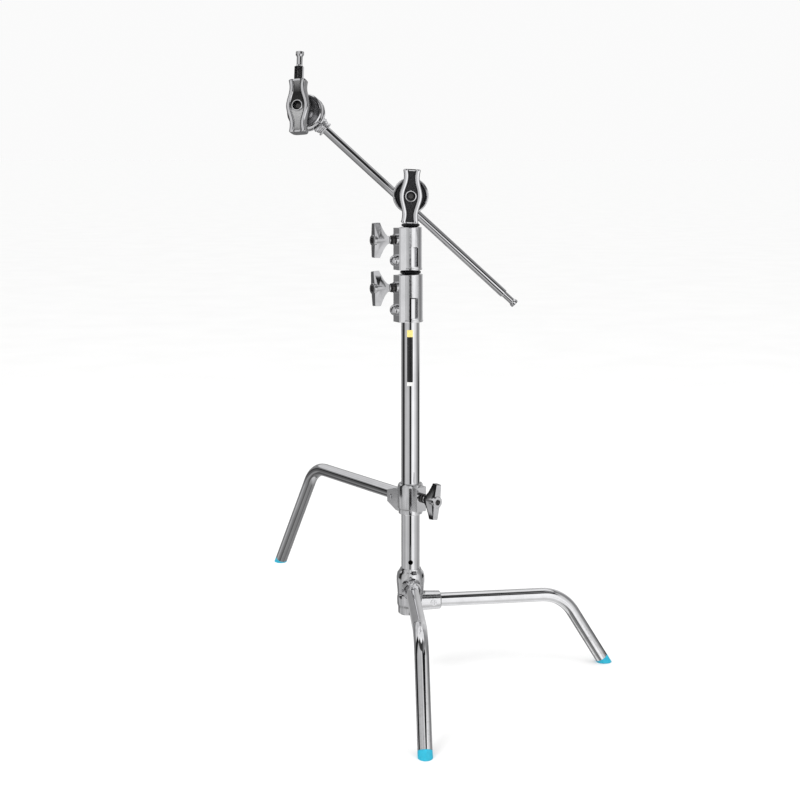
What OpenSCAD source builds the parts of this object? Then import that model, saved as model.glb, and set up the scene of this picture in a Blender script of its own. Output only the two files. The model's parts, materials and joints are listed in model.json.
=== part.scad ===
// C stand with a sliding leg, two risers, a grip head and a short grip arm.
// Millimetres. +Z is up, the column stands on the Z axis and the floor is z = 0.
// The arm side of the grip head faces -Y, and the lower leg points near +X.

/* [Column] */
// Outside diameter of the master column
column_d = 35; // [33:0.5:36]
// Wall of the master column and both risers
column_wall = 2; // [1.5:0.1:2]
// Height of the column's lower end above the floor
column_foot_z = 116; // [115:1:118]
// Height of the column's upper end, inside the lower casting
column_top_z = 708; // [700:1:712]

/* [Risers] */
// Outside diameter of the first riser
riser_1_d = 30; // [29:0.5:30]
// Outside diameter of the second riser
riser_2_d = 25; // [23:0.5:25]
// Height of both risers' lower ends while they are pushed in
riser_foot_z = 236; // [225:1:260]
// How much higher the second riser's lower end stands
riser_step = 30; // [28:1:50]

/* [Castings] */
// Underside of the lower casting, which clamps the first riser
lower_casting_z = 663; // [655:1:665]
// Height of the lower casting
lower_casting_h = 90; // [88:1:92]
// Height of the upper casting, which clamps the second riser
upper_casting_h = 81; // [80:1:84]
// Direction that the knobs' lugs face, counted from +X
lug_azimuth = 210; // [205:1:215]
// Thickness of the plastic ring on each casting
ring_h = 8; // [7:0.5:9]

/* [Knobs] */
// Length of a T knob across its two wings
knob_span = 66; // [60:1:68]
// Thickness of a knob's wings at their tips
knob_thick = 10; // [8:0.5:12]

/* [Legs] */
// Outside diameter of the leg tubes
leg_d = 25; // [23:0.5:26]
// Wall of the leg tubes
leg_wall = 1.8; // [1.5:0.1:2.5]
// Slope of a leg's falling part below the level
leg_fall = 58; // [54:1:62]
// Centreline radius of a leg's bend
bend_r = 70; // [60:1:80]
// Distance from the column axis to the lower leg's foot
lower_reach = 379; // [360:1:400]
// Distance from the column axis to the front leg's foot
front_reach = 404; // [385:1:420]
// Distance from the column axis to the sliding leg's foot
sliding_reach = 484; // [465:1:500]
// How far the sliding leg is raised above its lowest place
leg_raise = 102; // [60:1:200]

/* [Grip head] */
// Height of the grip head's bolt
head_z = 903; // [900:1:906]
// Diameter of the jaw discs
disc_d = 67; // [62:1:70]
// Length of the T handle
handle_span = 99; // [90:1:104]
// Diameter of the top stud
stud_d = 15.9; // [15.7:0.1:16]

/* [Grip arm] */
// Diameter of the arm rod
arm_d = 15.9; // [15.7:0.1:16]
// Lean of the arm away from upright
arm_lean = 47.4; // [46:0.2:49]
// From the head to the end head, along the arm
arm_upper = 234; // [225:1:245]
// From the head to the free end, along the arm
arm_lower = 281; // [270:1:290]
// Set of the end head towards the arm's tip, out of square
end_set = 18; // [10:1:20]

/* [Hidden] */
$fn = 64;

// Radial clearance of a running fit
fit = 0.05;
// Room where a leg is fixed in its socket or on its plug
seat_room = 0.04;

// Column
column_r = column_d / 2;
column_bore = column_d - 2 * column_wall;
plug_h = 14;
label_z = 544;
label_h = 105;
label_skin = 0.25;
label_turn = 36;
detent_hole_z = 212;
detent_hole_d = 9;

// Castings, in column and riser order
lower_casting_r = 23.2;
upper_casting_r = 21.4;
lower_casting_top = lower_casting_z + lower_casting_h;
lower_ring_top = lower_casting_top + ring_h;
upper_casting_z = lower_ring_top;
upper_casting_top = upper_casting_z + upper_casting_h;
upper_ring_top = upper_casting_top + ring_h;
riser_1_top = upper_casting_z + 42;
riser_2_top = upper_ring_top - 2;
lower_knob_z = lower_casting_z + 66;
lower_bolt_z = lower_casting_z + 24;
upper_knob_z = upper_casting_z + 58;
upper_bolt_z = upper_casting_z + 19;
lug_half = 13;
lug_face = 31;
lug_boss = 4.5;
boss_d = 22;
casting_lip = 5;
window_w = 13;
window_h = 37;
guide_flange = 6;
guide_h = 24;

// Knobs: distances along the knob's own axis, from the column axis
knob_hole_d = 10;
knob_inner = 50;
knob_outer = 81;
knob_tip = 12;
knob_neck_r = 6.5;
knob_disc_r = 10.7;
knob_wide = 15;
lock_collar_r = 8.5;
pad_h = 5;
pad_d = 8.6;

// Hubs and collar
hub_gap_z = 150;
hub_gap = 1.2;
upper_hub_top = 198;
lower_level = 135;
front_level = 167;
sliding_level = 228;
lower_azimuth = 9;
front_azimuth = -87;
sliding_azimuth = 125;
socket_len = 57;
socket_root_d = 38;
socket_end_d = 33;
socket_seat = 22;
foot_h = 11;
plug_len = 16;
collar_rest_z = 199 + leg_raise;
collar_h = 57;
collar_r = 24.5;
collar_bore_r = column_r + 1.05;
collar_knob_azimuth = -53;
collar_knob_z = collar_rest_z + 35;
collar_lug_face = 34;
collar_boss = 3;
bracket_len = 54;
bracket_half = 16.5;

// Grip heads: distances along the draw bolt from the barrel's axis
barrel_r = 16;
barrel_h = 44;
boss_top = 19;
rear_face = boss_top + 0.1;
jaw_plane = 36;
jaw_gap = 6;
rear_jaw = jaw_plane - jaw_gap / 2;
front_jaw = jaw_plane + jaw_gap / 2;
front_face = front_jaw + 15;
handle_seat = front_face + 6;
handle_top = 98;
handle_rim = 8.7;
handle_pocket = 3;
handle_turn = 2.7;
bolt_d = 10;
bolt_end = 90;
groove_offset = 17.5;
eye_r = 11.5;
eye_h = 12;
hex_af = 15.9;
hex_r = hex_af / 2 / cos(30);
stud_tip_z = head_z + 42;

// Arm: distances along the rod from the foot of the head's bolt
arm_wall = 2;
arm_shoulder = -(arm_lower - 29);
arm_collar_y = arm_upper - 35;
end_barrel_r = 14.5;

// ---------------------------------------------------------------- shared shapes

module ring(outer_r, inner_r, z1, z2) {
    translate([0, 0, z1])
        difference() {
            cylinder(r = outer_r, h = z2 - z1);
            translate([0, 0, -1]) cylinder(r = inner_r, h = z2 - z1 + 2);
        }
}

// Rod along the radius of an azimuth at height z, from radius r1 to r2
module radial_rod(azimuth, z, r1, r2, d) {
    rotate([0, 0, azimuth])
        translate([r1, 0, z])
            rotate([0, 90, 0])
                cylinder(d = d, h = r2 - r1);
}

// Children drawn with +Z along the outward radius of an azimuth and +X down
module radial_frame(azimuth, z) {
    translate([0, 0, z])
        rotate([0, 0, azimuth])
            rotate([0, 90, 0])
                children();
}

// A plain turned disc with chamfered edges
module chamfered(r, z1, z2, c) {
    rotate_extrude()
        polygon([[0, z1], [r - c, z1], [r, z1 + c], [r, z2 - c], [r - c, z2], [0, z2]]);
}

// ---------------------------------------------------------------- legs

function fall_start(level) = level - bend_r * (1 - cos(leg_fall));
function bend_x(level, reach) =
    reach - bend_r * sin(leg_fall) - fall_start(level) / tan(leg_fall);

// Solid swept along a leg's centreline: level, bend, fall
module leg_sweep(d, level, reach, start) {
    bend_at = bend_x(level, reach);
    fall_len = fall_start(level) / sin(leg_fall) + 20;
    translate([start, 0, level])
        rotate([0, 90, 0])
            cylinder(d = d, h = bend_at - start);
    translate([bend_at, 0, level - bend_r])
        rotate([90, 0, 0])
            rotate([0, 0, 90 - leg_fall])
                rotate_extrude(angle = leg_fall)
                    translate([bend_r, 0])
                        circle(d = d);
    translate([bend_at + bend_r * sin(leg_fall), 0, fall_start(level)])
        rotate([0, 90 + leg_fall, 0]) {
            cylinder(d = d, h = fall_len);
            weld(d);
        }
    translate([bend_at, 0, level])
        rotate([0, 90, 0])
            weld(d);
}

// Fine bead that joins two lengths of a leg end to end
module weld(d) {
    bead = 1;
    translate([0, 0, -bead / 2]) cylinder(d = d + 0.2, h = bead);
}

module leg_tube(level, reach, start) {
    difference() {
        leg_sweep(leg_d, level, reach, start);
        leg_sweep(leg_d - 2 * leg_wall, level, reach, start - 1);
        translate([reach, 0, 0])
            rotate([0, leg_fall - 90, 0])
                translate([-40, -40, foot_h + seat_room - 80]) cube([80, 80, 80]);
        translate([start - 2, -leg_d, level - leg_d]) cube([2, 2 * leg_d, 2 * leg_d]);
    }
}

// Plug in a leg's end, flush with the tube and cut level with the floor
module foot_plug(reach) {
    below = 20;
    bore = leg_d - 2 * leg_wall;
    difference() {
        translate([reach, 0, 0])
            rotate([0, leg_fall - 90, 0]) {
                translate([0, 0, -below]) cylinder(d = leg_d, h = below + foot_h);
                cylinder(d = bore - seat_room, h = foot_h + plug_len);
            }
        translate([reach - 60, -40, -60]) cube([120, 80, 60]);
    }
}

// Tapered socket that holds a leg, drawn along +X from the column axis
module leg_socket(level) {
    translate([0, 0, level])
        rotate([0, 90, 0]) {
            cylinder(d1 = socket_root_d, d2 = socket_end_d, h = socket_len - 2);
            translate([0, 0, socket_len - 2])
                cylinder(d1 = socket_end_d, d2 = socket_end_d - 3, h = 2);
        }
}

module leg_socket_bore(level) {
    translate([socket_seat, 0, level])
        rotate([0, 90, 0])
            cylinder(d = leg_d + seat_room, h = socket_len);
}

// Countersunk screw across a socket, its head on the -Y side
module socket_screw(level) {
    head_y = socket_root_d / 2 - 0.6;
    translate([42, -head_y, level])
        rotate([-90, 0, 0])
            difference() {
                union() {
                    cylinder(d1 = 12, d2 = 7, h = 3);
                    cylinder(d = 6, h = head_y - leg_d / 2 + 1);
                }
                translate([-4.2, -0.9, -1]) cube([8.4, 1.8, 2.4]);
                translate([-0.9, -4.2, -1]) cube([1.8, 8.4, 2.4]);
            }
}

module socket_screw_hole(level) {
    head_y = socket_root_d / 2 - 0.6;
    translate([42, -head_y, level])
        rotate([-90, 0, 0]) {
            translate([0, 0, -3]) cylinder(d = 12, h = 3);
            cylinder(d1 = 12, d2 = 7, h = 3);
            cylinder(d = 6, h = head_y - leg_d / 2 + 1);
        }
}

module lower_leg() {
    color("gainsboro")
        rotate([0, 0, lower_azimuth])
            difference() {
                leg_tube(lower_level, lower_reach, socket_seat);
                socket_screw_hole(lower_level);
            }
}

module lower_leg_foot() {
    color("darkturquoise")
        rotate([0, 0, lower_azimuth]) foot_plug(lower_reach);
}

module lower_leg_screw() {
    color("silver")
        rotate([0, 0, lower_azimuth]) socket_screw(lower_level);
}

module front_leg() {
    color("gainsboro")
        rotate([0, 0, front_azimuth])
            difference() {
                leg_tube(front_level, front_reach, socket_seat);
                socket_screw_hole(front_level);
            }
}

module front_leg_foot() {
    color("darkturquoise")
        rotate([0, 0, front_azimuth]) foot_plug(front_reach);
}

module front_leg_screw() {
    color("silver")
        rotate([0, 0, front_azimuth]) socket_screw(front_level);
}

// ---------------------------------------------------------------- hubs

module lower_hub() {
    floor_z = column_foot_z - 3;
    color("gainsboro")
        difference() {
            union() {
                rotate_extrude()
                    polygon([[0, floor_z], [21.5, floor_z], [23.5, floor_z + 2], [23.8, 126],
                        [25.4, 131], [25.6, 143], [24.6, hub_gap_z - 1], [23.8, hub_gap_z], [0, hub_gap_z]]);
                rotate([0, 0, lower_azimuth]) leg_socket(lower_level);
            }
            translate([0, 0, column_foot_z]) cylinder(d = column_d, h = 60);
            translate([0, 0, floor_z - 1]) cylinder(d = 24, h = 10);
            translate([0, 0, hub_gap_z]) cylinder(r = 28, h = 20);
            detent_groove();
            rotate([0, 0, lower_azimuth]) {
                leg_socket_bore(lower_level);
                socket_screw_hole(lower_level);
            }
        }
}

// Track in the lower hub's top for the detent plunger's tip
module detent_groove() {
    rotate_extrude()
        polygon([[18.6, hub_gap_z + 1], [18.6, hub_gap_z - 1], [20, hub_gap_z - 2.6],
            [21.6, hub_gap_z - 2.6], [23, hub_gap_z - 1], [23, hub_gap_z + 1]]);
}

module detent_plunger() {
    color("dimgray")
        rotate([0, 0, front_azimuth + 120])
            translate([20.8, 0, hub_gap_z - 2.2]) {
                cylinder(d1 = 1.6, d2 = 4, h = 1.6);
                translate([0, 0, 1.6]) cylinder(d = 4, h = 14);
            }
}

module upper_hub() {
    base = hub_gap_z + hub_gap;
    color("gainsboro")
        difference() {
            union() {
                rotate_extrude()
                    polygon([[0, base], [23.8, base], [24.8, base + 1], [25, base + 6], [26.5, 174],
                        [26.5, 182], [24.8, 190], [21, 195], [19.8, upper_hub_top], [0, upper_hub_top]]);
                rotate([0, 0, front_azimuth]) leg_socket(front_level);
            }
            translate([0, 0, 100]) cylinder(r = column_r + fit, h = 120);
            translate([0, 0, base - 20]) cylinder(r = 28, h = 20);
            rotate([0, 0, front_azimuth]) {
                leg_socket_bore(front_level);
                socket_screw_hole(front_level);
            }
            rotate([0, 0, front_azimuth + 120])
                translate([20.8, 0, base - 1]) cylinder(d = 4, h = 14.4 - hub_gap);
        }
}

// ---------------------------------------------------------------- sliding leg

module slide_liner() {
    color("whitesmoke")
        difference() {
            ring(collar_bore_r - fit, column_r + fit, collar_rest_z + 2, collar_rest_z + collar_h - 2);
            rotate([0, 0, collar_knob_azimuth + 180])
                translate([column_r - 3, -1.5, collar_rest_z]) cube([8, 3, collar_h]);
        }
}

// Clamp block for a knob, drawn along +X
module lug(face, half, z1, z2) {
    c = 2;
    translate([0, 0, z1])
        linear_extrude(height = z2 - z1)
            polygon([[0, -half], [face - c, -half], [face, -half + c],
                [face, half - c], [face - c, half], [0, half]]);
}

module sliding_collar() {
    z1 = collar_rest_z;
    z2 = collar_rest_z + collar_h;
    level = sliding_level + leg_raise;
    color("gainsboro")
        difference() {
            union() {
                rotate_extrude()
                    polygon([[0, z1], [21.5, z1], [22.5, z1 + 1], [23.3, z1 + 9], [collar_r, z1 + 12],
                        [collar_r, z2 - 6], [23.4, z2 - 2], [22, z2], [0, z2]]);
                rotate([0, 0, collar_knob_azimuth]) lug(collar_lug_face, 12.5, z1 + 9, z2 - 3);
                radial_rod(collar_knob_azimuth, collar_knob_z, 20, collar_lug_face + collar_boss, boss_d - 1);
                rotate([0, 0, sliding_azimuth]) leg_bracket(level);
            }
            translate([0, 0, z1 - 1]) cylinder(r = collar_bore_r, h = collar_h + 2);
            radial_rod(collar_knob_azimuth, collar_knob_z, 10, 60, knob_hole_d + 2 * fit);
            rotate([0, 0, sliding_azimuth]) {
                leg_socket_bore(level);
                translate([bracket_len - 9, 30, level - 4]) rotate([90, 0, 0]) cylinder(d = 6, h = 60);
            }
        }
}

// Gusseted cheeks round the sliding leg's tube, drawn along +X
module leg_bracket(level) {
    cheek_z = level - 26;
    translate([0, bracket_half, 0])
        rotate([90, 0, 0])
            linear_extrude(height = 2 * bracket_half)
                polygon([[0, cheek_z], [collar_r, cheek_z], [bracket_len, level - 14],
                    [bracket_len, level + 8], [collar_r + 6, level + 15], [0, level + 15]]);
}

module sliding_leg() {
    color("gainsboro")
        translate([0, 0, leg_raise])
            rotate([0, 0, sliding_azimuth])
                difference() {
                    leg_tube(sliding_level, sliding_reach, socket_seat);
                    translate([bracket_len - 9, 30, sliding_level - 4])
                        rotate([90, 0, 0]) cylinder(d = 6, h = 60);
                }
}

module sliding_leg_foot() {
    color("darkturquoise")
        translate([0, 0, leg_raise])
            rotate([0, 0, sliding_azimuth]) foot_plug(sliding_reach);
}

module sliding_leg_pin() {
    color("silver")
        translate([0, 0, leg_raise])
            rotate([0, 0, sliding_azimuth])
                translate([bracket_len - 9, bracket_half + 2, sliding_level - 4])
                    rotate([90, 0, 0]) {
                        cylinder(d = 6, h = 2 * bracket_half + 4);
                        chamfered(5.5, 0, 2, 0.8);
                        chamfered(5.5, 2 * bracket_half + 2, 2 * bracket_half + 4, 0.8);
                    }
}

module collar_brake_pad() {
    color("goldenrod")
        radial_rod(collar_knob_azimuth, collar_knob_z, collar_bore_r + 0.1, collar_bore_r + pad_h, pad_d);
}

// ---------------------------------------------------------------- column

module master_column() {
    color("gainsboro")
        difference() {
            ring(column_r, column_bore / 2, column_foot_z, column_top_z);
            translate([0, 0, detent_hole_z]) rotate([90, 0, 0]) cylinder(d = detent_hole_d, h = 30);
        }
}

module column_plug() {
    color("dimgray")
        translate([0, 0, column_foot_z]) cylinder(d = column_bore, h = plug_h);
}

module column_label() {
    color("black")
        translate([0, 0, label_z])
            rotate([0, 0, -90 - label_turn / 2 - 4])
                rotate_extrude(angle = label_turn)
                    translate([column_r, 0]) square([label_skin, label_h]);
}

// ---------------------------------------------------------------- castings

// Riser clamp: socket for the tube below, running bore for the riser above
module casting(z1, h, r, tube_d, tube_top, riser_d, knob_z, bolt_z, window_z) {
    difference() {
        union() {
            chamfered(r, z1, z1 + h, 0.8);
            chamfered(r + 0.8, z1, z1 + casting_lip, 1.4);
            rotate([0, 0, lug_azimuth]) lug(lug_face, lug_half, z1 + 1, z1 + h - 1);
            radial_rod(lug_azimuth, knob_z, r, lug_face + lug_boss, boss_d);
            radial_rod(lug_azimuth, bolt_z, r, lug_face + lug_boss, boss_d);
        }
        translate([0, 0, z1 - 1]) cylinder(r = riser_d / 2 + fit, h = h + 2);
        translate([0, 0, z1 - 1]) cylinder(d = tube_d, h = tube_top - z1 + 1);
        radial_rod(lug_azimuth, knob_z, 5, 60, knob_hole_d + 2 * fit);
        radial_rod(lug_azimuth, bolt_z, 5, 60, 8);
        translate([1, -r - 5, window_z]) cube([window_w, r + 5, window_h]);
    }
}

module casting_ring(z, r, riser_d) {
    inner = riser_d / 2 + fit;
    translate([0, 0, z])
        rotate_extrude()
            polygon([[inner, 0], [r - 5, 0], [r - 1.4, 1.8], [r, ring_h / 2],
                [r - 1.4, ring_h - 1.8], [r - 5, ring_h], [inner, ring_h]]);
}

// Dome headed bolt that fixes a casting to its tube
module casting_bolt(z, tube_d) {
    seat = lug_face + lug_boss;
    radial_rod(lug_azimuth, z, tube_d / 2, seat, 8);
    radial_frame(lug_azimuth, z)
        translate([0, 0, seat])
            rotate_extrude()
                difference() {
                    intersection() {
                        translate([0, -4]) circle(r = 12);
                        translate([0, 0]) square([9.2, 12]);
                    }
                    translate([0, 5.5]) square([2.8, 8]);
                }
}

module brake_pad(z, riser_d) {
    color("goldenrod")
        radial_rod(lug_azimuth, z, riser_d / 2 + 0.7, riser_d / 2 + pad_h, pad_d);
}

module lower_casting() {
    color("gainsboro")
        casting(lower_casting_z, lower_casting_h, lower_casting_r, column_d, column_top_z,
            riser_1_d, lower_knob_z, lower_bolt_z, lower_casting_z + 8);
}

module lower_casting_ring() {
    color("black") casting_ring(lower_casting_top, 20.2, riser_1_d);
}

module lower_casting_bolt() {
    color("silver") casting_bolt(lower_bolt_z, column_d);
}

module lower_brake_pad() {
    brake_pad(lower_knob_z, riser_1_d);
}

module upper_casting() {
    color("gainsboro")
        casting(upper_casting_z, upper_casting_h, upper_casting_r, riser_1_d, riser_1_top,
            riser_2_d, upper_knob_z, upper_bolt_z, upper_casting_z + 7);
}

module upper_casting_ring() {
    color("black") casting_ring(upper_casting_top, 17.8, riser_2_d);
}

module upper_casting_bolt() {
    color("silver") casting_bolt(upper_bolt_z, riser_1_d);
}

module upper_brake_pad() {
    brake_pad(upper_knob_z, riser_2_d);
}

// ---------------------------------------------------------------- risers

module riser_1() {
    color("gainsboro")
        ring(riser_1_d / 2, riser_1_d / 2 - column_wall, riser_foot_z, riser_1_top);
}

module riser_2() {
    color("gainsboro")
        ring(riser_2_d / 2, riser_2_d / 2 - column_wall, riser_foot_z + riser_step, riser_2_top);
}

// Plastic guide on a riser's lower end: a flange that runs in the tube outside it
module riser_guide(outer_r, bore_r, z) {
    color("dimgray") {
        ring(outer_r, bore_r - 3, z - guide_flange, z);
        ring(bore_r, bore_r - 3, z, z + guide_h - guide_flange);
    }
}

module riser_1_guide() {
    riser_guide(column_bore / 2 - fit, riser_1_d / 2 - column_wall, riser_foot_z);
}

module riser_2_guide() {
    riser_guide(riser_1_d / 2 - column_wall - fit, riser_2_d / 2 - column_wall,
        riser_foot_z + riser_step);
}

module top_stud() {
    plug_d = riser_2_d - 2 * column_wall;
    shoulder_z = riser_2_top + 8;
    color("silver")
        rotate_extrude()
            polygon([[0, riser_2_top - 25], [plug_d / 2, riser_2_top - 25], [plug_d / 2, riser_2_top],
                [riser_2_d / 2, riser_2_top], [riser_2_d / 2, shoulder_z - 1], [riser_2_d / 2 - 1, shoulder_z],
                [stud_d / 2, shoulder_z], [stud_d / 2, stud_tip_z - 1.5], [stud_d / 2 - 1.5, stud_tip_z],
                [0, stud_tip_z]]);
}

// ---------------------------------------------------------------- knobs

// Half width of a knob's wing at a distance along its axis
function wing_r(t) = knob_neck_r + (knob_span / 2 - knob_neck_r) * pow(t, 1.7);

module t_knob(azimuth, z, turn) {
    steps = 10;
    wing_len = knob_outer - knob_tip - knob_inner;
    flank = [for (i = [0 : steps]) [wing_r(i / steps), knob_inner + wing_len * i / steps]];
    flank_back = [for (i = [steps : -1 : 0]) [-wing_r(i / steps), knob_inner + wing_len * i / steps]];
    tip = knob_span / 2;
    half = knob_wide / 2;
    end = knob_thick / 2;
    color("gainsboro")
        radial_frame(azimuth, z)
            rotate([0, 0, turn])
                difference() {
                    union() {
                        intersection() {
                            rotate([90, 0, 0])
                                linear_extrude(height = 2 * knob_wide, center = true)
                                    polygon(concat(flank, [[tip - 0.8, knob_outer - 1], [tip - 2, knob_outer],
                                        [2 - tip, knob_outer], [0.8 - tip, knob_outer - 1]], flank_back));
                            translate([0, 0, knob_inner - 1])
                                linear_extrude(height = knob_outer - knob_inner + 2)
                                    polygon([[0, half], [tip + 1, end], [tip + 1, -end],
                                        [0, -half], [-tip - 1, -end], [-tip - 1, end]]);
                        }
                        translate([0, 0, knob_inner])
                            cylinder(r1 = knob_neck_r + 0.4, r2 = knob_disc_r - 1, h = knob_outer - knob_inner);
                        chamfered(knob_disc_r, knob_outer - 5, knob_outer + 2, 1);
                    }
                    translate([0, 0, knob_inner - 1]) cylinder(d = knob_hole_d, h = 22);
                    translate([0, 0, knob_outer - 1]) cylinder(r = 5.5, h = 4);
                    translate([0, 0, knob_inner]) cylinder(d = 5, h = 40);
                }
}

// Threaded stem: presses the brake pad, turns in the lug and ends as a screw in the knob
module knob_stem(azimuth, z, pad_r, turn) {
    color("silver")
        radial_frame(azimuth, z)
            rotate([0, 0, turn])
                difference() {
                    union() {
                        translate([0, 0, pad_r]) cylinder(d = knob_hole_d, h = knob_inner + 21 - pad_r);
                        translate([0, 0, knob_inner - 12]) chamfered(lock_collar_r, 0, 5, 0.8);
                        translate([0, 0, knob_inner - 3.5]) chamfered(lock_collar_r - 1, 0, 2, 0.5);
                        translate([0, 0, knob_inner + 20]) cylinder(d = 5, h = knob_outer - knob_inner - 20);
                        translate([0, 0, knob_outer - 1]) chamfered(4.6, 0, 2.2, 0.6);
                    }
                    translate([-6, -0.7, knob_outer]) cube([12, 1.4, 3]);
                    translate([-0.7, -6, knob_outer]) cube([1.4, 12, 3]);
                }
}

module lower_knob() {
    t_knob(lug_azimuth, lower_knob_z, 6);
}

module lower_knob_stem() {
    knob_stem(lug_azimuth, lower_knob_z, riser_1_d / 2 + pad_h, 6);
}

module upper_knob() {
    t_knob(lug_azimuth, upper_knob_z, 0);
}

module upper_knob_stem() {
    knob_stem(lug_azimuth, upper_knob_z, riser_2_d / 2 + pad_h, 0);
}

module collar_knob() {
    t_knob(collar_knob_azimuth, collar_knob_z, -8);
}

module collar_knob_stem() {
    knob_stem(collar_knob_azimuth, collar_knob_z, collar_bore_r + pad_h, -8);
}

// ---------------------------------------------------------------- grip head frames

// +Z out of the head along its draw bolt, +Y up
module head_frame() {
    translate([0, 0, head_z])
        rotate([90, 0, 0])
            children();
}

// +Y along the arm towards the end head, origin at the foot of the head's bolt
module arm_frame() {
    head_frame()
        rotate([0, 0, arm_lean])
            translate([-groove_offset, 0, jaw_plane])
                children();
}

// +Z out of the end head along its draw bolt
module end_frame() {
    arm_frame()
        translate([0, arm_upper, 0])
            rotate([-end_set, 0, 0])
                children();
}

// The end head's jaws and handle stand upright again
module end_upright() {
    end_frame()
        rotate([0, 0, -arm_lean])
            children();
}

// Rod along Y through the point x, z
module rod_y(x, z, y1, y2, d) {
    translate([x, y1, z])
        rotate([-90, 0, 0])
            cylinder(d = d, h = y2 - y1);
}

module rod_x(y, z, x1, x2, d) {
    translate([x1, y, z])
        rotate([0, 90, 0])
            cylinder(d = d, h = x2 - x1);
}

// ---------------------------------------------------------------- grip head parts

// The four rod grooves across both jaws; the main one takes the arm or the spigot
module jaw_grooves(main_r) {
    reach = disc_d;
    rod_y(-groove_offset, jaw_plane, -reach, reach, 2 * main_r);
    rod_y(groove_offset + 1, jaw_plane, -reach, reach, 13);
    rod_x(groove_offset + 2, jaw_plane, -reach, reach, 10);
    rod_x(-groove_offset - 3, jaw_plane, -reach, reach, 8);
}

module rear_disc(main_r) {
    rim = disc_d / 2;
    color("silver")
        difference() {
            rotate_extrude()
                polygon([[0, rear_face], [14, rear_face], [16, rear_face + 3], [rim - 4, rear_jaw - 8],
                    [rim - 1, rear_jaw - 7], [rim, rear_jaw - 5], [rim, rear_jaw - 1], [rim - 1, rear_jaw],
                    [0, rear_jaw]]);
            cylinder(r = bolt_d / 2 + fit, h = 60);
            jaw_grooves(main_r);
        }
}

module front_disc(main_r) {
    rim = disc_d / 2;
    color("silver")
        difference() {
            rotate_extrude()
                polygon([[0, front_jaw], [rim - 1, front_jaw], [rim, front_jaw + 1], [rim, front_face - 5],
                    [rim - 0.8, front_face - 3], [rim - 2.4, front_face - 2], [rim - 4, front_face - 3],
                    [rim - 7, front_face - 7], [16, front_face - 8], [13, front_face - 6],
                    [12, front_face], [0, front_face]]);
            cylinder(r = bolt_d / 2 + fit, h = 80);
            jaw_grooves(main_r);
        }
}

module spring_washer() {
    r = bolt_d / 2 + fit;
    color("dimgray")
        rotate_extrude()
            polygon([[r, rear_jaw], [8, rear_jaw], [6.6, jaw_plane], [8, front_jaw], [r, front_jaw]]);
}

module thrust_washer() {
    r = bolt_d / 2 + fit;
    color("silver")
        rotate_extrude()
            polygon([[r, front_face], [11, front_face], [11, front_face + 2.4], [9.6, front_face + 3],
                [11, front_face + 3.6], [11, handle_seat], [r, handle_seat]]);
}

// Half width of the T handle at a fraction of its half length: full middle, waist, flared end
function handle_half(t) = 18.4 + 2.8 * cos(265 * t) - 1.7 * t;

// Plan of the T handle, drawn in from its long sides and from its ends
module handle_outline(side_inset, end_inset) {
    steps = 22;
    half = handle_span / 2 - end_inset;
    right = [for (i = [-steps : steps]) [handle_half(abs(i) / steps) - side_inset, half * i / steps]];
    left = [for (i = [steps : -1 : -steps]) [side_inset - handle_half(abs(i) / steps), half * i / steps]];
    polygon(concat(right, left));
}

module t_handle(turn) {
    bar_z = 70;
    color("gainsboro")
        rotate([0, 0, turn]) difference() {
            union() {
                translate([0, 0, bar_z]) linear_extrude(height = handle_top - bar_z - 2) handle_outline(0, 0);
                translate([0, 0, handle_top - 2.01]) linear_extrude(height = 2.01) handle_outline(1, 1);
                translate([0, 0, handle_seat]) cylinder(r1 = 12, r2 = 15, h = bar_z - handle_seat + 2);
            }
            translate([0, 0, handle_top - handle_pocket])
                linear_extrude(height = handle_pocket + 1)
                    difference() {
                        handle_outline(handle_rim, -1);
                        circle(r = 10.2);
                    }
            translate([0, 0, handle_seat - 1]) cylinder(r = bolt_d / 2 + fit, h = 50);
            translate([0, 0, handle_top - 12]) cylinder(r = 8.7, h = 20);
        }
}

// The stud's barrel with a boss for the rear disc and a pocket for the bolt's eye
module head_barrel() {
    color("silver")
        head_frame()
            difference() {
                union() {
                    rotate([-90, 0, 0]) chamfered(barrel_r, -barrel_h / 2, barrel_h / 2, 1.2);
                    cylinder(r = 15, h = boss_top);
                }
                rod_y(0, 0, -40, 40, stud_d + 2 * fit);
                rod_y(0, 0, -eye_h / 2, eye_h / 2, 2 * eye_r);
                translate([-eye_r, -eye_h / 2, 0]) cube([2 * eye_r, eye_h, boss_top + 1]);
            }
}

module head_draw_bolt() {
    color("silver")
        head_frame()
            difference() {
                union() {
                    rod_y(0, 0, -eye_h / 2, eye_h / 2, 2 * eye_r);
                    translate([0, 0, 9]) cylinder(d = bolt_d, h = bolt_end - 9);
                    translate([0, 0, bolt_end - 3]) chamfered(5, 0, 3, 1);
                }
                rod_y(0, 0, -40, 40, stud_d + 0.4);
            }
}

module head_rear_disc() {
    head_frame() rotate([0, 0, arm_lean]) rear_disc(arm_d / 2 + fit);
}

module head_front_disc() {
    head_frame() rotate([0, 0, arm_lean]) front_disc(arm_d / 2 + fit);
}

module head_spring_washer() {
    head_frame() spring_washer();
}

module head_thrust_washer() {
    head_frame() thrust_washer();
}

module head_handle() {
    head_frame() t_handle(-handle_turn);
}

// ---------------------------------------------------------------- grip arm

module arm_rod() {
    color("gainsboro")
        arm_frame()
            difference() {
                rod_y(0, 0, arm_shoulder, arm_upper + 12, arm_d);
                rod_y(0, 0, arm_shoulder - 1, arm_upper + 13, arm_d - 2 * arm_wall);
                rod_x(arm_upper - 19, 0, -20, 20, 5);
            }
}

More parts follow.
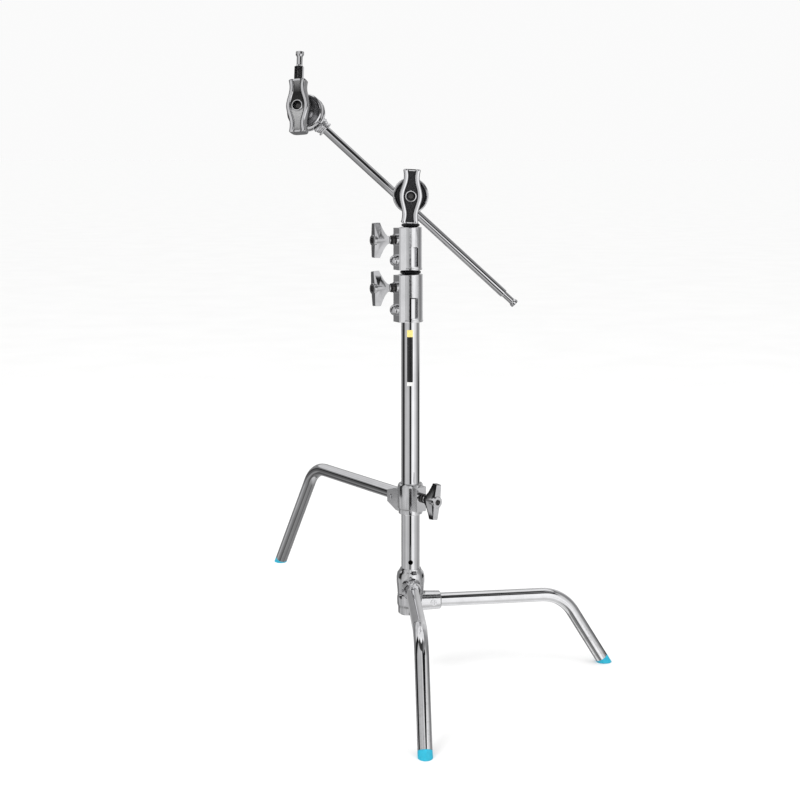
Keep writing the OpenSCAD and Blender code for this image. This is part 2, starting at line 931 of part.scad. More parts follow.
// Baby stud pressed into the rod's free end
module arm_end_stud() {
    plug_r = arm_d / 2 - arm_wall;
    tip = -arm_lower;
    color("silver")
        arm_frame()
            rotate([-90, 0, 0])
                rotate_extrude()
                    polygon([[3, tip], [arm_d / 2 - 0.8, tip], [arm_d / 2, tip + 0.8], [arm_d / 2, tip + 5],
                        [6, tip + 8], [6, arm_shoulder - 1], [7, arm_shoulder], [plug_r, arm_shoulder],
                        [plug_r, arm_shoulder + 14], [0, arm_shoulder + 14], [0, tip + 9], [3, tip + 9]]);
}

module arm_collar() {
    y = arm_collar_y;
    color("silver")
        arm_frame()
            rotate([-90, 0, 0])
                rotate_extrude()
                    polygon([[arm_d / 2, y], [13.6, y], [14.6, y + 1], [14.6, y + 3], [12.2, y + 4],
                        [12.2, y + 6], [13.8, y + 7], [13.8, y + 10], [arm_d / 2, y + 10]]);
}

module arm_pin() {
    color("silver")
        arm_frame()
            rod_x(arm_upper - 19, 0, -end_barrel_r - 0.4, end_barrel_r + 0.4, 5);
}

module end_barrel() {
    y1 = arm_collar_y + 10;
    y2 = arm_upper + 20;
    color("silver")
        difference() {
            union() {
                arm_frame() rotate([-90, 0, 0]) {
                    chamfered(end_barrel_r, y1, y2, 1.2);
                    chamfered(end_barrel_r + 1.2, y1 + 1, y1 + 5, 1);
                }
                end_frame() cylinder(r = 14.6, h = boss_top + 1);
            }
            arm_frame() {
                rod_y(0, 0, y1 - 1, arm_upper + 12, arm_d);
                rod_x(arm_upper - 19, 0, -30, 30, 5);
            }
            end_frame() {
                translate([0, 0, 11]) cylinder(d = bolt_d, h = 20);
                translate([0, 0, boss_top]) cylinder(d = disc_d, h = 20);
            }
        }
}

module end_draw_bolt() {
    color("silver")
        end_frame() {
            translate([0, 0, 11]) cylinder(d = bolt_d, h = bolt_end - 14);
            translate([0, 0, bolt_end - 3]) chamfered(5, 0, 3, 1);
        }
}

module end_rear_disc() {
    end_upright() rear_disc(hex_r + fit);
}

module end_front_disc() {
    end_upright() front_disc(hex_r + fit);
}

module end_spring_washer() {
    end_upright() spring_washer();
}

module end_thrust_washer() {
    end_upright() thrust_washer();
}

module end_handle() {
    end_upright() t_handle(handle_turn);
}

// Hexagonal spigot held in the end head's main groove
module end_spigot() {
    hex_top = 91;
    neck = 17;
    color("silver")
        end_upright()
            translate([-groove_offset, 0, jaw_plane])
                rotate([-90, 0, 0]) {
                    translate([0, 0, -24]) rotate([0, 0, 30]) cylinder(r = hex_r, h = hex_top + 22, $fn = 6);
                    translate([0, 0, hex_top - 3]) cylinder(r1 = hex_af / 2 - 0.1, r2 = 6, h = 4);
                    translate([0, 0, hex_top]) cylinder(d = 11.6, h = neck + 3);
                    translate([0, 0, hex_top + neck])
                        rotate_extrude()
                            polygon([[0, 0], [5.8, 0], [8, 4], [8, 9], [7.2, 9.8], [0, 9.8]]);
                }
}

// ---------------------------------------------------------------- assembly

master_column();
column_plug();
column_label();
lower_casting();
lower_casting_ring();
lower_casting_bolt();
lower_brake_pad();
lower_hub();
lower_leg();
lower_leg_foot();
lower_leg_screw();
upper_hub();
front_leg();
front_leg_foot();
front_leg_screw();
detent_plunger();
slide_liner();
sliding_collar();
sliding_leg();
sliding_leg_foot();
sliding_leg_pin();
collar_brake_pad();
riser_1();
riser_1_guide();
upper_casting();
upper_casting_ring();
upper_casting_bolt();
upper_brake_pad();
riser_2();
riser_2_guide();
top_stud();
lower_knob();
lower_knob_stem();
upper_knob();
upper_knob_stem();
collar_knob();
collar_knob_stem();
head_barrel();
head_draw_bolt();
head_rear_disc();
head_front_disc();
head_spring_washer();
head_thrust_washer();
head_handle();
arm_rod();
arm_collar();
arm_pin();
arm_end_stud();
end_barrel();
end_draw_bolt();
end_rear_disc();
end_front_disc();
end_spring_washer();
end_thrust_washer();
end_handle();
end_spigot();
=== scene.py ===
"""Looks of the c stand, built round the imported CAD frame. Metres, +Z up, -Y towards the viewer."""
import json
import math

import bmesh
import bpy
from mathutils import Matrix, Vector


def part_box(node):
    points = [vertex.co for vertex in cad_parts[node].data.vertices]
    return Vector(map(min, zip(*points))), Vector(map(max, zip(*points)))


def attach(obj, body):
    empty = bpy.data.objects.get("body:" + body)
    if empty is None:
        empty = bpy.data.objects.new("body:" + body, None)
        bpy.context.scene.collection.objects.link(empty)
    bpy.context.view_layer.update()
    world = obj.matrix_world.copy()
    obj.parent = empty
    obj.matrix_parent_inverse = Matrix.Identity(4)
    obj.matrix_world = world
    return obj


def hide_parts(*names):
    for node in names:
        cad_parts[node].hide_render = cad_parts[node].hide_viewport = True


MM = 0.001
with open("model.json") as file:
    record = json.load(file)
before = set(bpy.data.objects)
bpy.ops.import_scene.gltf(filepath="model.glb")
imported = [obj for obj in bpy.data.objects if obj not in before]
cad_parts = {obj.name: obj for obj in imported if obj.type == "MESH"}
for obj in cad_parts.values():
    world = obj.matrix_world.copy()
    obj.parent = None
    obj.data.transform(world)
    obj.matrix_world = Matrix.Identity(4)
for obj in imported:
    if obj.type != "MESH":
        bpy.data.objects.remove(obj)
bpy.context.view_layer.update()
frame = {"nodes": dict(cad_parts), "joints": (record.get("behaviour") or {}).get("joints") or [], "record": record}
NODES = frame["nodes"]
JOINTS = {j["name"]: j for j in frame["joints"]}
MOUNTS = {m["name"]: m for m in frame["record"]["mounts"]}
SLOTS = {s["node"]: s["material_slot"] for s in frame["record"]["subparts"]}


# ---------------------------------------------------------------- node helpers

def linked(tree, kind, inputs=None, **settings):
    """A shader node with its settings, its inputs given as values or as other nodes' sockets."""
    node = tree.nodes.new(kind)
    for key, value in settings.items():
        setattr(node, key, value)
    for key, value in (inputs or {}).items():
        if isinstance(value, bpy.types.NodeSocket):
            tree.links.new(value, node.inputs[key])
        else:
            node.inputs[key].default_value = value
    return node


def new_material(name):
    mat = bpy.data.materials.new(name)
    mat.use_nodes = True
    tree = mat.node_tree
    tree.nodes.clear()
    return mat, tree


def noise(tree, where, scale, detail=4.0, rough=0.55):
    return linked(tree, "ShaderNodeTexNoise", {"Vector": where, "Scale": scale, "Detail": detail,
                                               "Roughness": rough}).outputs["Fac"]


def span(tree, value, low, high, to_low, to_high):
    """value taken from low..high to to_low..to_high, clamped."""
    return linked(tree, "ShaderNodeMapRange", {"Value": value, "From Min": low, "From Max": high,
                                               "To Min": to_low, "To Max": to_high}).outputs["Result"]


def maths(tree, operation, a, b):
    return linked(tree, "ShaderNodeMath", {0: a, 1: b}, operation=operation).outputs[0]


def times(tree, a, b):
    return maths(tree, "MULTIPLY", a, b)


def plus(tree, a, b):
    return maths(tree, "ADD", a, b)


def along_way(tree, vector, way):
    """How far vector reaches along the direction way."""
    return linked(tree, "ShaderNodeVectorMath", {0: vector, 1: way}, operation="DOT_PRODUCT").outputs["Value"]


def xyz_of(tree, vector):
    return linked(tree, "ShaderNodeSeparateXYZ", {0: vector}).outputs


def blended(tree, share, one, other):
    """Colour mix: one at share 0, other at share 1."""
    node = linked(tree, "ShaderNodeMix", {0: share}, data_type="RGBA")
    for index, colour in ((6, one), (7, other)):
        if isinstance(colour, bpy.types.NodeSocket):
            tree.links.new(colour, node.inputs[index])
        else:
            node.inputs[index].default_value = (*colour, 1)
    return node.outputs[2]


def greys(tree, where, shades):
    """Grey ramp along where (0 to 1), from (place, shade) pairs."""
    ramp = linked(tree, "ShaderNodeValToRGB", {0: where})
    stops = ramp.color_ramp.elements
    while len(stops) < len(shades):
        stops.new(0.5)
    for stop, (at, _) in zip(stops, shades):
        stop.position = at
    for stop, (_, value) in zip(stops, shades):
        stop.color = (value, value, value, 1)
    return ramp.outputs[0]


def object_place(tree):
    return stretched(tree, (1, 1, 1))


def stretched(tree, scale):
    """Object coordinates scaled per axis, for streaks."""
    coords = linked(tree, "ShaderNodeTexCoord").outputs["Object"]
    return linked(tree, "ShaderNodeMapping", {"Vector": coords, "Scale": scale}).outputs["Vector"]


def surface(tree, colour, metallic, roughness, height, bump, reach, **extra):
    """Principled surface bumped by height, joined to the output."""
    bumped = linked(tree, "ShaderNodeBump", {"Height": height, "Strength": bump, "Distance": reach})
    inputs = {"Metallic": metallic, "Roughness": roughness, **extra}
    inputs.update({"Base Color": colour, "Normal": bumped.outputs["Normal"]})
    shader = linked(tree, "ShaderNodeBsdfPrincipled", inputs)
    linked(tree, "ShaderNodeOutputMaterial", {"Surface": shader.outputs["BSDF"]})


# ---------------------------------------------------------------- materials

def window_painted_shadow(tree, where, low, high):
    """Mask of a painted shadow: 1 on the left and upper edges of a casting's front window, from height low to
    height high.
    """
    at = xyz_of(tree, where)
    front = span(tree, at["Y"], -0.010, -0.012, 0, 1)
    right_of_edge = span(tree, at["X"], -0.0021, -0.0015, 0, 1)
    under_top = span(tree, at["Z"], high + 0.0014, high + 0.0022, 1, 0)
    side = times(tree, right_of_edge, span(tree, at["X"], 0.0011, 0.0015, 1, 0))
    side = times(tree, side, span(tree, at["Z"], low - 0.009, low - 0.006, 0, 1))
    side = times(tree, side, under_top)
    top = times(tree, span(tree, at["Z"], high - 0.0002, high + 0.0002, 0, 1), under_top)
    top = times(tree, top, right_of_edge)
    top = times(tree, top, span(tree, at["X"], 0.009, 0.016, 1, 0))
    return times(tree, front, maths(tree, "MAXIMUM", side, top))


def object_normal(tree):
    return linked(tree, "ShaderNodeTexCoord").outputs["Normal"]


# Shares of darkness in painted reflections across a tube: FALLEN from its -X side (0) to its +X side (1), the
# others from below (0) to above (1)
FALLEN_SHADES = [(0.0, 0.0), (0.1, 0.08), (0.26, 0.42), (0.5, 0.66), (0.8, 0.7), (1.0, 0.55)]
LEVEL_SHADES = [(0.0, 0.45), (0.2, 0.25), (0.29, 0.75), (0.34, 0.4), (0.43, 0.45), (0.46, 0.8),
                (0.5, 0.5), (0.59, 0.55), (0.62, 0.97), (0.66, 0.97), (0.69, 0.05), (1.0, 0.0)]
ARM_SHADES = [(0.0, 0.35), (0.38, 0.4), (0.43, 0.0), (0.52, 0.0), (0.56, 0.85), (0.8, 0.8), (0.86, 0.3),
              (1.0, 0.35)]


def raised_leg_painted_reflection(tree, where):
    """Painted reflections on the raised leg, by which way its surface faces: a dull painted grey along its falling
    part, with thin painted dark lines along its level part.
    """
    facing = xyz_of(tree, object_normal(tree))
    fallen = greys(tree, span(tree, facing["X"], -1, 1, 0, 1), FALLEN_SHADES)
    level = greys(tree, span(tree, facing["Z"], -1, 1, 0, 1), LEVEL_SHADES)
    under_bend = span(tree, xyz_of(tree, where)["Z"], 0.286, 0.314, 1, 0)
    return blended(tree, under_bend, level, fallen)


def arm_painted_reflection(tree, where):
    """Painted reflections on the arm, by which way its surface faces: a painted dark band along the upper side of
    its raised half, with a painted highlight line under that.
    """
    upward = Vector(JOINTS["arm_slide"]["axis"]).cross(Vector((0, 1, 0)))
    if upward.z < 0:
        upward.negate()
    above = along_way(tree, object_normal(tree), upward)
    raised = greys(tree, span(tree, above, -1, 1, 0, 1), ARM_SHADES)
    left_of_head = span(tree, xyz_of(tree, where)["X"], -0.05, -0.03, 1, 0)
    return blended(tree, left_of_head, (0, 0, 0), raised)


def chrome(name, tint, rough_low, rough_high, streak, peel, peel_scale, window=None, shade=None):
    """Plated steel: smudges, fine lines stretched by streak, a little orange peel and grime near the floor.

    window is a front window's lowest and highest place, whose left and upper edges get a painted shadow; shade is
    a function that gives shares of darkness for painted reflections.
    """
    mat, tree = new_material(name)
    plain = object_place(tree)
    drawn = noise(tree, stretched(tree, streak), 900, 3)
    smudge = noise(tree, plain, 22, 5, 0.62)
    specks = noise(tree, plain, 420, 3, 0.7)
    rough = span(tree, smudge, 0.35, 0.72, rough_low, rough_high)
    rough = plus(tree, rough, span(tree, drawn, 0.55, 0.75, 0, 0.05))
    rough = plus(tree, rough, span(tree, specks, 0.66, 0.74, 0, 0.12))
    low = span(tree, xyz_of(tree, plain)["Z"], 0.02, 0.16, 1, 0)
    grime = times(tree, low, span(tree, noise(tree, plain, 130, 5, 0.7), 0.48, 0.7, 0, 1))
    rough = plus(tree, rough, times(tree, grime, 0.14))
    bright = blended(tree, span(tree, smudge, 0.3, 0.75, 0, 1), tint, [c * 0.86 for c in tint])
    colour = blended(tree, times(tree, grime, 0.3), bright, (0.3, 0.28, 0.25))
    # Painted shadow on the front window's left and upper edges
    if window:
        colour = blended(tree, window_painted_shadow(tree, plain, *window), colour, (0.012, 0.012, 0.012))
    # Painted reflections: shares of darkness set by which way the surface faces
    if shade:
        colour = blended(tree, shade(tree, plain), colour, (0.006, 0.006, 0.006))
    waves = plus(tree, times(tree, noise(tree, plain, peel_scale, 2), peel), times(tree, drawn, 0.04))
    surface(tree, colour, 1.0, rough, waves, 0.35, 0.0006)
    return mat


def handle_chrome(name, light, dull):
    """Polished casting: broad soft waves, and painted shade where the surface turns away from the eye."""
    mat, tree = new_material(name)
    plain = object_place(tree)
    smudge = noise(tree, plain, 40, 5, 0.62)
    specks = noise(tree, plain, 420, 3, 0.7)
    rough = span(tree, smudge, 0.35, 0.72, 0.06, 0.13)
    rough = plus(tree, rough, span(tree, specks, 0.66, 0.74, 0, 0.1))
    # Painted shade: darker towards edges that turn away from the eye
    turned = linked(tree, "ShaderNodeLayerWeight", {"Blend": 0.5}).outputs["Facing"]
    tone = span(tree, turned, 0.3, 0.72, 0, 1)
    bright = blended(tree, span(tree, smudge, 0.3, 0.75, 0, 1), light, dull)
    colour = blended(tree, tone, bright, (0.13, 0.13, 0.135))
    surface(tree, colour, 1.0, rough, noise(tree, plain, 60, 2), 0.3, 0.0006)
    return mat


# Shades of the end handle's painted reflection in its channel, from its lower end (0) to its upper end (1)
CHANNEL_SHADES = [(0.0, 0.2), (0.1, 0.5), (0.4, 0.72), (0.46, 0.3), (0.55, 0.04), (0.74, 0.02), (0.84, 0.14),
                  (0.96, 0.34)]
HALF_CHANNEL = 0.05


def channel_metal(place):
    """Cast channel of the end handle with a painted reflection: dark above its bolt, brighter below, along the
    handle's own length.
    """
    mat, tree = new_material("channel_metal")
    plain = object_place(tree)
    length = place.to_3x3().col[1]
    along = maths(tree, "SUBTRACT", along_way(tree, plain, length), place.translation.dot(length))
    # Painted reflection along the channel's length
    shade = greys(tree, span(tree, along, -HALF_CHANNEL, HALF_CHANNEL, 0, 1), CHANNEL_SHADES)
    grain = noise(tree, plain, 700, 5, 0.7)
    colour = blended(tree, span(tree, grain, 0.45, 0.7, 0, 0.35), shade, (0.1, 0.1, 0.1))
    surface(tree, colour, 0.85, span(tree, grain, 0.3, 0.7, 0.4, 0.28), grain, 0.4, 0.0005)
    return mat


def dark_cast():
    """Bare cast recess: dark, coarse grain with worn high spots."""
    mat, tree = new_material("dark_cast")
    plain = object_place(tree)
    grain = noise(tree, plain, 950, 5, 0.7)
    pits = linked(tree, "ShaderNodeTexVoronoi", {"Vector": plain, "Scale": 620}).outputs["Distance"]
    colour = blended(tree, span(tree, grain, 0.5, 0.72, 0, 1), (0.028, 0.028, 0.03), (0.17, 0.17, 0.175))
    rough = span(tree, grain, 0.3, 0.7, 0.5, 0.3)
    surface(tree, colour, 0.85, rough, plus(tree, grain, times(tree, pits, 0.8)), 0.6, 0.0008)
    return mat


def dish_metal(name, dark, light):
    """Turned dark metal: soft streaks between two shades and a satin sheen."""
    mat, tree = new_material(name)
    plain = object_place(tree)
    streak = noise(tree, stretched(tree, (1, 1, 0.25)), 90, 3, 0.55)
    fine = noise(tree, plain, 1300, 3, 0.6)
    colour = blended(tree, span(tree, streak, 0.36, 0.66, 0, 1), dark, light)
    rough = plus(tree, span(tree, streak, 0.3, 0.7, 0.18, 0.28), span(tree, fine, 0.5, 0.7, 0, 0.05))
    surface(tree, colour, 0.95, rough, fine, 0.08, 0.0003)
    return mat


def dark_steel():
    """Blackened steel under a film of oil."""
    mat, tree = new_material("dark_steel")
    plain = object_place(tree)
    oil = noise(tree, plain, 180, 4, 0.6)
    colour = blended(tree, span(tree, oil, 0.35, 0.7, 0, 1), (0.045, 0.045, 0.048), (0.15, 0.145, 0.14))
    rough = span(tree, oil, 0.3, 0.7, 0.25, 0.5)
    surface(tree, colour, 0.9, rough, noise(tree, plain, 1500, 3), 0.25, 0.0003)
    return mat


def brass():
    """Brass with duller, browner patches."""
    mat, tree = new_material("brass")
    plain = object_place(tree)
    dull = noise(tree, plain, 260, 4, 0.6)
    colour = blended(tree, span(tree, dull, 0.35, 0.7, 0, 1), (0.8, 0.58, 0.24), (0.45, 0.3, 0.12))
    rough = span(tree, dull, 0.3, 0.7, 0.2, 0.42)
    surface(tree, colour, 1.0, rough, noise(tree, plain, 1400, 3), 0.2, 0.0003)
    return mat


def ring_plastic():
    """Glossy black moulding with faint scratches and dust."""
    mat, tree = new_material("ring_plastic")
    plain = object_place(tree)
    scratch = noise(tree, stretched(tree, (1, 1, 14)), 260, 4, 0.7)
    dust = span(tree, noise(tree, plain, 700, 4, 0.75), 0.6, 0.72, 0, 1)
    colour = blended(tree, times(tree, dust, 0.35), (0.006, 0.006, 0.007), (0.09, 0.088, 0.084))
    rough = plus(tree, span(tree, scratch, 0.45, 0.7, 0.07, 0.2), times(tree, dust, 0.3))
    gloss = {"Specular IOR Level": 0.22}
    surface(tree, colour, 0.0, rough, noise(tree, plain, 300, 3), 0.12, 0.0004, **gloss)
    return mat


def foot_plastic():
    """Satin turquoise cap, paler where it is scuffed."""
    mat, tree = new_material("foot_plastic")
    plain = object_place(tree)
    mottle = noise(tree, plain, 150, 5, 0.6)
    scuff = span(tree, noise(tree, stretched(tree, (1, 1, 4)), 320, 5, 0.75), 0.58, 0.7, 0, 1)
    colour = blended(tree, span(tree, mottle, 0.35, 0.7, 0, 1), (0.008, 0.37, 0.53), (0.012, 0.44, 0.62))
    colour = blended(tree, times(tree, scuff, 0.3), colour, (0.25, 0.6, 0.68))
    rough = plus(tree, span(tree, mottle, 0.3, 0.7, 0.3, 0.42), times(tree, scuff, 0.25))
    surface(tree, colour, 0.0, rough, noise(tree, plain, 1100, 4, 0.7), 0.3, 0.0004)
    return mat


def guide_plastic():
    """Matt black nylon."""
    mat, tree = new_material("guide_plastic")
    plain = object_place(tree)
    grain = noise(tree, plain, 800, 4, 0.6)
    colour = blended(tree, span(tree, grain, 0.35, 0.7, 0, 1), (0.02, 0.02, 0.021), (0.045, 0.044, 0.043))
    surface(tree, colour, 0.0, span(tree, grain, 0.3, 0.7, 0.42, 0.6), grain, 0.3, 0.0004)
    return mat


def liner_plastic():
    """Off-white nylon."""
    mat, tree = new_material("liner_plastic")
    plain = object_place(tree)
    grain = noise(tree, plain, 500, 4, 0.6)
    colour = blended(tree, span(tree, grain, 0.35, 0.7, 0, 1), (0.62, 0.62, 0.6), (0.5, 0.5, 0.48))
    surface(tree, colour, 0.0, span(tree, grain, 0.3, 0.7, 0.38, 0.55), grain, 0.2, 0.0004)
    return mat


def label_film(low, high):
    """Printed film: yellow band on top, black field, white strip at the foot. No lettering."""
    mat, tree = new_material("label")
    plain = object_place(tree)
    ramp = linked(tree, "ShaderNodeValToRGB", {0: span(tree, xyz_of(tree, plain)["Z"], low, high, 0, 1)})
    ramp.color_ramp.interpolation = "CONSTANT"
    bands = [(0.0, (0.78, 0.78, 0.76)), (0.063, (0.012, 0.012, 0.013)), (0.874, (0.86, 0.72, 0.24))]
    stops = ramp.color_ramp.elements
    while len(stops) < len(bands):
        stops.new(0.5)
    for stop, (at, colour) in zip(stops, bands):
        stop.position = at
        stop.color = (*colour, 1)
    wear = span(tree, noise(tree, plain, 240, 5, 0.75), 0.6, 0.7, 0, 1)
    colour = blended(tree, times(tree, wear, 0.4), ramp.outputs[0], (0.3, 0.3, 0.29))
    rough = plus(tree, span(tree, noise(tree, plain, 90, 3), 0.3, 0.7, 0.16, 0.3), times(tree, wear, 0.3))
    surface(tree, colour, 0.0, rough, noise(tree, plain, 600, 3), 0.15, 0.0003)
    return mat


TUBE_TINT = (0.84, 0.84, 0.85)
CAST_TINT = (0.8, 0.8, 0.81)
EVEN = (1, 1, 1)
DRAWN_UP = (1, 1, 0.02)
# Lowest and highest place of the lower casting's front window (m), whose edges get a painted shadow
LOWER_WINDOW = (0.671, 0.708)
label_low, label_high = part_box("column_label")
MATS = {
    "tube_chrome": chrome("tube_chrome", TUBE_TINT, 0.02, 0.065, DRAWN_UP, 0.1, 34),
    "leg_chrome": chrome("leg_chrome", TUBE_TINT, 0.02, 0.065, EVEN, 0.1, 34),
    # The arm's chrome, with painted reflections
    "arm_chrome": chrome("arm_chrome", TUBE_TINT, 0.02, 0.065, EVEN, 0.1, 34, shade=arm_painted_reflection),
    # The raised leg's chrome, with painted reflections
    "raised_chrome": chrome("raised_chrome", TUBE_TINT, 0.03, 0.08, EVEN, 0.1, 34, shade=raised_leg_painted_reflection),
    "collar_chrome": chrome("collar_chrome", TUBE_TINT, 0.1, 0.2, EVEN, 0.35, 60),
    "cast_chrome": chrome("cast_chrome", CAST_TINT, 0.07, 0.17, EVEN, 0.9, 130),
    "lower_window_painted_shadow": chrome("lower_window_painted_shadow", CAST_TINT, 0.07, 0.17, EVEN, 0.9, 130, LOWER_WINDOW),
    "turned_chrome": chrome("turned_chrome", (0.78, 0.78, 0.79), 0.09, 0.18, EVEN, 0.25, 90),
    "dark_steel": dark_steel(),
    "ring_plastic": ring_plastic(),
    "foot_plastic": foot_plastic(),
    "guide_plastic": guide_plastic(),
    "liner_plastic": liner_plastic(),
    "label": label_film(label_low.z, label_high.z),
    "brass": brass(),
    "handle_chrome": handle_chrome("handle_chrome", (0.9, 0.9, 0.91), (0.76, 0.76, 0.77)),
    # A darker copy of handle_chrome for the lower and upper knobs: painted shade
    "knob_chrome_painted_shade": handle_chrome("knob_chrome_painted_shade", (0.7, 0.7, 0.71), (0.5, 0.5, 0.505)),
    "dark_cast": dark_cast(),
    "head_dish": dish_metal("head_dish", (0.02, 0.02, 0.022), (0.09, 0.09, 0.094)),
    "end_dish": dish_metal("end_dish", (0.07, 0.07, 0.073), (0.4, 0.4, 0.41)),
}


# ---------------------------------------------------------------- CAD pieces

def smooth(mesh):
    mesh.polygons.foreach_set("use_smooth", [True] * len(mesh.polygons))


SHARP = math.radians(28)


def split_at(obj, angle):
    split = obj.modifiers.new("split", "EDGE_SPLIT")
    split.split_angle = angle


def dress(node, width, mat):
    """Gives a CAD node its material, welds its faces and rounds its edges by width (metres)."""
    obj = NODES[node]
    mesh = obj.data
    mesh.materials.clear()
    mesh.materials.append(mat)
    with bpy.context.temp_override(object=obj, active_object=obj, selected_objects=[obj]):
        bpy.ops.mesh.customdata_custom_splitnormals_clear()
    smooth(mesh)
    weld = obj.modifiers.new("weld", "WELD")
    weld.merge_threshold = 2e-6
    if width > 0:
        flat = obj.modifiers.new("flat", "DECIMATE")
        flat.decimate_type = "DISSOLVE"
        flat.angle_limit = math.radians(0.7)
        bevel = obj.modifiers.new("bevel", "BEVEL")
        bevel.width = width
        bevel.segments = 3
        bevel.limit_method = "ANGLE"
        bevel.angle_limit = SHARP
        bevel.harden_normals = True
    else:
        split_at(obj, SHARP)


def second_material(node, mat, chosen):
    """Paints the faces of a CAD node for which chosen(centre, normal) is true."""
    mesh = NODES[node].data
    mesh.materials.append(mat)
    for face in mesh.polygons:
        if chosen(face.center, face.normal):
            face.material_index = 1


# Rounding of the CAD nodes' edges, mm; the others keep theirs
WIDTHS = {
    "lower_casting": 0.9, "upper_casting": 0.9, "lower_hub": 0.9, "upper_hub": 0.9, "sliding_collar": 0.9,
    "lower_knob": 1.1, "upper_knob": 1.1, "collar_knob": 1.1,
    "lower_leg_foot": 0.5, "front_leg_foot": 0.5, "sliding_leg_foot": 0.5,
    "lower_casting_ring": 1.2, "upper_casting_ring": 1.2,
    "head_barrel": 0.5, "end_barrel": 0.4, "arm_collar": 0.35,
    "head_rear_disc": 0.5, "head_front_disc": 0.5, "end_rear_disc": 0.5, "end_front_disc": 0.5,
    "head_thrust_washer": 0.25, "end_thrust_washer": 0.25,
    "end_spigot": 0.3, "master_column": 0.3,
}
# Nodes that look different from the others of their material slot, some of them through painted shade, a painted
# shadow and painted reflections
OWN_LOOK = {
    "slide_liner": "liner_plastic", "lower_casting": "lower_window_painted_shadow", "lower_knob": "knob_chrome_painted_shade",
    "upper_knob": "knob_chrome_painted_shade", "collar_knob": "handle_chrome", "sliding_collar": "collar_chrome",
    "arm_rod": "arm_chrome",
}
for node in NODES:
    dress(node, WIDTHS.get(node, 0) * MM, MATS[OWN_LOOK.get(node, SLOTS[node])])


# ---------------------------------------------------------------- new pieces

def piece(name, verts, faces, body, mat, place, replaced=()):
    """A new mesh on a body, in place of the CAD nodes it replaces."""
    mesh = bpy.data.meshes.new(name)
    mesh.from_pydata([tuple(v) for v in verts], [], faces)
    mesh.transform(place)
    mesh.validate()
    mesh.materials.append(mat)
    smooth(mesh)
    obj = bpy.data.objects.new(name, mesh)
    bpy.context.scene.collection.objects.link(obj)
    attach(obj, body)
    if replaced:
        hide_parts(*replaced)
    return obj


def tube_skin(rings):
    """Vertices and faces of a closed skin through rings of points, its two ends capped."""
    count = len(rings[0])
    verts = [p for ring in rings for p in ring]
    faces = []
    for i in range(len(rings) - 1):
        for j in range(count):
            k = (j + 1) % count
            faces.append((i * count + j, i * count + k, (i + 1) * count + k, (i + 1) * count + j))
    faces.append(tuple(reversed(range(count))))
    faces.append(tuple(range((len(rings) - 1) * count, len(rings) * count)))
    return verts, faces


# Legs: one smooth tube each, level from its socket, bent, then falling to its cap (mm)
LEG_R = 12.5
FALL = math.radians(58)
BEND_R = 70.0
TUBE_START = 22.0
TUBE_END_Z = 9.36
STRAIGHT_STEPS = 6
BEND_STEPS = 28
ROUND_STEPS = 48
LEG_SHARP = math.radians(40)


def leg_path(level, reach):
    """Centreline of a leg as (x, z, slope), from its socket to its cap."""
    low = level - BEND_R * (1 - math.cos(FALL))
    bend_x = reach - BEND_R * math.sin(FALL) - low / math.tan(FALL)
    path = [(TUBE_START, level, 0.0)]
    for i in range(1, STRAIGHT_STEPS):
        path.append((TUBE_START + (bend_x - TUBE_START) * i / STRAIGHT_STEPS, level, 0.0))
    for i in range(BEND_STEPS + 1):
        a = FALL * i / BEND_STEPS
        path.append((bend_x + BEND_R * math.sin(a), level - BEND_R * (1 - math.cos(a)), a))
    run = (low - TUBE_END_Z) / math.sin(FALL)
    fall_x = bend_x + BEND_R * math.sin(FALL)
    for i in range(1, STRAIGHT_STEPS + 1):
        gone = run * i / STRAIGHT_STEPS
        path.append((fall_x + gone * math.cos(FALL), low - gone * math.sin(FALL), FALL))
    return path


def leg_rings(level, reach, lift):
    rings = []
    for x, z, slope in leg_path(level, reach):
        ring = []
        for j in range(ROUND_STEPS):
            t = 2 * math.pi * j / ROUND_STEPS
            side, up = LEG_R * math.cos(t), LEG_R * math.sin(t)
            ring.append(Vector((x + up * math.sin(slope), side, z + up * math.cos(slope) + lift)) * MM)
        rings.append(ring)
    return rings


# Each leg's name, body, level, reach to the foot, azimuth in degrees, lift and metal
LEGS = (
    ("lower_leg", "column", 135, 379, 9, 0, "leg_chrome"),
    ("front_leg", "front_leg_group", 167, 404, -87, 0, "leg_chrome"),
    ("sliding_leg", "sliding_leg_group", 228, 484, 125, 102, "raised_chrome"),
)
for name, body, level, reach, azimuth, lift, metal in LEGS:
    verts, faces = tube_skin(leg_rings(level, reach, lift))
    turned = Matrix.Rotation(math.radians(azimuth), 4, "Z")
    leg = piece(name + "_tube", verts, faces, body, MATS[metal], turned, (name,))
    split_at(leg, LEG_SHARP)


# T handles: two rounded rims either side of a cast channel, with a recess for the bolt's end.
# In mm: the bar lies along Y, its back at BAR and its front at TOP, and its neck ends at SEAT_Z.
SPAN = 99.0
TOP = 98.0
BAR = 70.0
SEAT_Z = 60.0
RIM = 8.9
RIM_STEPS = 12
BAR_STEPS = 30
LIP_SINK = 2.3
CHANNEL_SINK = 0.9
HANDLE_SHARP = math.radians(38)


def handle_half(t):
    """Half width of the bar, where t is 0 at its middle and 1 at its ends."""
    return 18.4 + 2.8 * math.cos(math.radians(265 * t)) - 1.7 * t


def handle_section(half, sink, top):
    """Half outline of the bar across its width, from the channel's middle round to the middle of the back."""
    inner = half - RIM
    floor_z = top - sink
    outline = [(0, floor_z), (inner * 0.5, floor_z), (inner - 0.9, floor_z), (inner - 0.2, floor_z + 0.7)]
    mid, wide = (inner + half) / 2, (half - inner) / 2
    for i in range(1, RIM_STEPS):
        a = math.pi * (1 - i / RIM_STEPS)
        outline.append((mid + wide * math.cos(a), top - 4.2 + 4.2 * math.sin(a) ** 0.8))
    outline += [(half, top - 5.5), (half - 0.2, top - 12), (half - 0.9, BAR + 6), (half - 2.6, BAR + 2.4),
                (half - 5.5, BAR + 0.4), (half - 8.5, BAR), (0, BAR)]
    return outline


